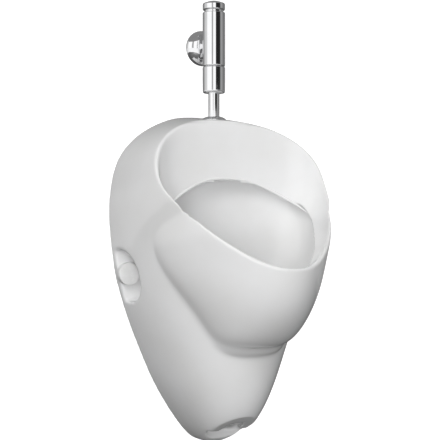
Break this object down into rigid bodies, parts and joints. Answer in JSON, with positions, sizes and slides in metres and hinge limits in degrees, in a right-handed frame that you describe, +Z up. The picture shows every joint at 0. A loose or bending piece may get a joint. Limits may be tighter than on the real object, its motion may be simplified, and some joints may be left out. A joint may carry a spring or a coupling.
{
  "type": "wall hung urinal",
  "caption": "Pear-shaped wall hung china urinal with a hooded rim, a covered bottle trap and a chromed push-button flush valve on a top flush pipe.",
  "frame": {"origin": "on the wall plane, midway between the two fixing screws", "axes": "+X to the right for someone who faces the urinal, -Y out of the wall into the room, +Z up"},
  "size_m": [0.332, 0.334, 0.7092],
  "materials": {
    "china": "glossy white glaze",
    "cap_white": "glossy",
    "chrome": "polished",
    "zinc": "zinc plated",
    "steel": "stainless",
    "brass": "as machined",
    "rubber": "matt",
    "grey_plastic": "moulded",
    "white_plastic": "moulded"
  },
  "bodies": {
    "urinal": {"urinal_body": "china", "fixing_screws": "zinc", "fixing_bushes": "white_plastic", "fixing_washers": "zinc", "fixing_nuts": "zinc", "cover_caps": "cap_white", "flush_pipe": "chrome", "pipe_seal": "rubber", "pipe_flange": "chrome", "outlet_sleeve": "chrome", "slip_ring": "brass", "cone_seal": "rubber", "breaker_insert": "grey_plastic", "outlet_gasket": "rubber", "valve_body": "chrome", "cartridge_sleeve": "brass", "bonnet": "brass", "bonnet_o_ring": "rubber", "inlet_neck": "chrome", "neck_o_ring": "rubber", "wall_rosette": "chrome", "waste_gasket": "rubber", "waste_outlet": "brass", "waste_strainer": "chrome", "strainer_screw": "steel", "lower_gasket": "rubber", "waste_back_nut": "brass", "trap_nut": "white_plastic", "trap_nut_seal": "rubber", "trap_body": "white_plastic", "trap_cup": "white_plastic", "trap_cup_seal": "rubber", "waste_pipe": "white_plastic", "outlet_pipe_seal": "rubber", "outlet_pipe_nut": "white_plastic"},
    "button": {"push_button": "chrome", "button_stem": "brass", "button_clip": "steel", "return_spring": "steel"},
    "piston": {"piston": "grey_plastic", "piston_seal": "rubber", "seat_washer": "rubber"},
    "breaker": {"breaker_disc": "rubber"}
  },
  "joints": [
    {"name": "button_press", "type": "slide", "parent": "urinal", "child": "button", "axis": [0, 0, -1], "range_m": [0, 0.0032], "stiffness_N_per_m": 1200, "springref_m": -0.004, "deforming": ["return_spring"]},
    {"name": "piston_lift", "type": "slide", "parent": "urinal", "child": "piston", "axis": [0, 0, 1], "range_m": [0, 0.005], "stiffness_N_per_m": 400, "springref_m": -0.004},
    {"name": "breaker_lift", "type": "slide", "parent": "urinal", "child": "breaker", "axis": [0, 0, 1], "range_m": [0, 0.002]}
  ]
}
